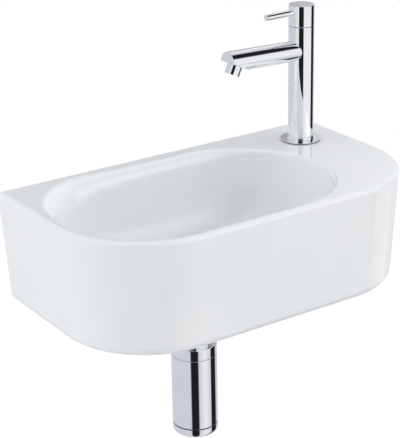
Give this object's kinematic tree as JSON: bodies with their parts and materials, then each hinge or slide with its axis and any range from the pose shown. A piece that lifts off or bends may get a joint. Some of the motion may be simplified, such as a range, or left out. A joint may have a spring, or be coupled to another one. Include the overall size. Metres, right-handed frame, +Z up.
{
  "type": "cloakroom basin",
  "caption": "Compact wall-hung ceramic cloakroom basin, rounded front corners, long oval bowl, right-hand chrome pillar tap with side lever, bottle trap below.",
  "frame": {"origin": "on the wall face, midway between the two wall-fixing holes, 65 mm below the rim", "axes": "+X along the wall to the right as one faces the basin, +Y into the wall, +Z up"},
  "size_m": [0.4, 0.22, 0.426],
  "materials": {
    "white_ceramic": "high gloss glaze",
    "chrome": "mirror polished chrome plate",
    "brass": "machined",
    "black_rubber": "matt",
    "white_plastic": "matt",
    "disc_ceramic": "lapped",
    "steel": "brushed",
    "dark_steel": "black oxide"
  },
  "bodies": {
    "fixed": {"basin": "white_ceramic", "waste_body": "chrome", "waste_strainer": "chrome", "waste_top_seal": "black_rubber", "waste_lower_seal": "black_rubber", "waste_washer": "white_plastic", "waste_nut": "brass", "tap_column": "chrome", "tap_flange": "chrome", "tap_base_seal": "black_rubber", "tap_spout": "chrome", "aerator_shell": "chrome", "aerator_insert": "white_plastic", "aerator_gasket": "black_rubber", "tap_shank": "brass", "shank_rubber_washer": "black_rubber", "shank_metal_washer": "steel", "shank_nut": "brass", "cartridge_body": "brass", "cartridge_seat_seal": "black_rubber", "cartridge_fixed_disc": "disc_ceramic", "trap_union_nut": "chrome", "trap_union_seal": "black_rubber"},
    "lever": {"lever_hub": "chrome", "lever_rod": "chrome", "hub_grub_screw": "dark_steel", "cartridge_spindle": "brass", "cartridge_moving_disc": "disc_ceramic", "spindle_o_ring": "black_rubber"},
    "trap": {"trap_body": "chrome", "trap_dip_tube": "chrome", "trap_outlet_nut": "chrome", "trap_outlet_seal": "black_rubber"},
    "cup_drop": {"trap_cup_seal": "black_rubber"},
    "cup": {"trap_cup": "chrome"}
  },
  "joints": [
    {"name": "lever_turn", "type": "hinge", "parent": "fixed", "child": "lever", "pos_m": [0.149, -0.0495, 0.2], "axis": [0, 0, 1], "range_deg": [0, 90]},
    {"name": "trap_swivel", "type": "hinge", "parent": "fixed", "child": "trap", "pos_m": [-0.04, -0.111, -0.117], "axis": [0, 0, 1], "continuous": true},
    {"name": "cup_travel", "type": "slide", "parent": "trap", "child": "cup_drop", "axis": [0, 0, -1], "range_m": [0, 0.005]},
    {"name": "cup_unscrew", "type": "hinge", "parent": "cup_drop", "child": "cup", "pos_m": [-0.04, -0.111, -0.2], "axis": [0, 0, -1], "range_deg": [0, 720]}
  ],
  "couplings": [
    {"joint": "cup_travel", "follows": "cup_unscrew", "m_per_rad": 0.00039789}
  ]
}
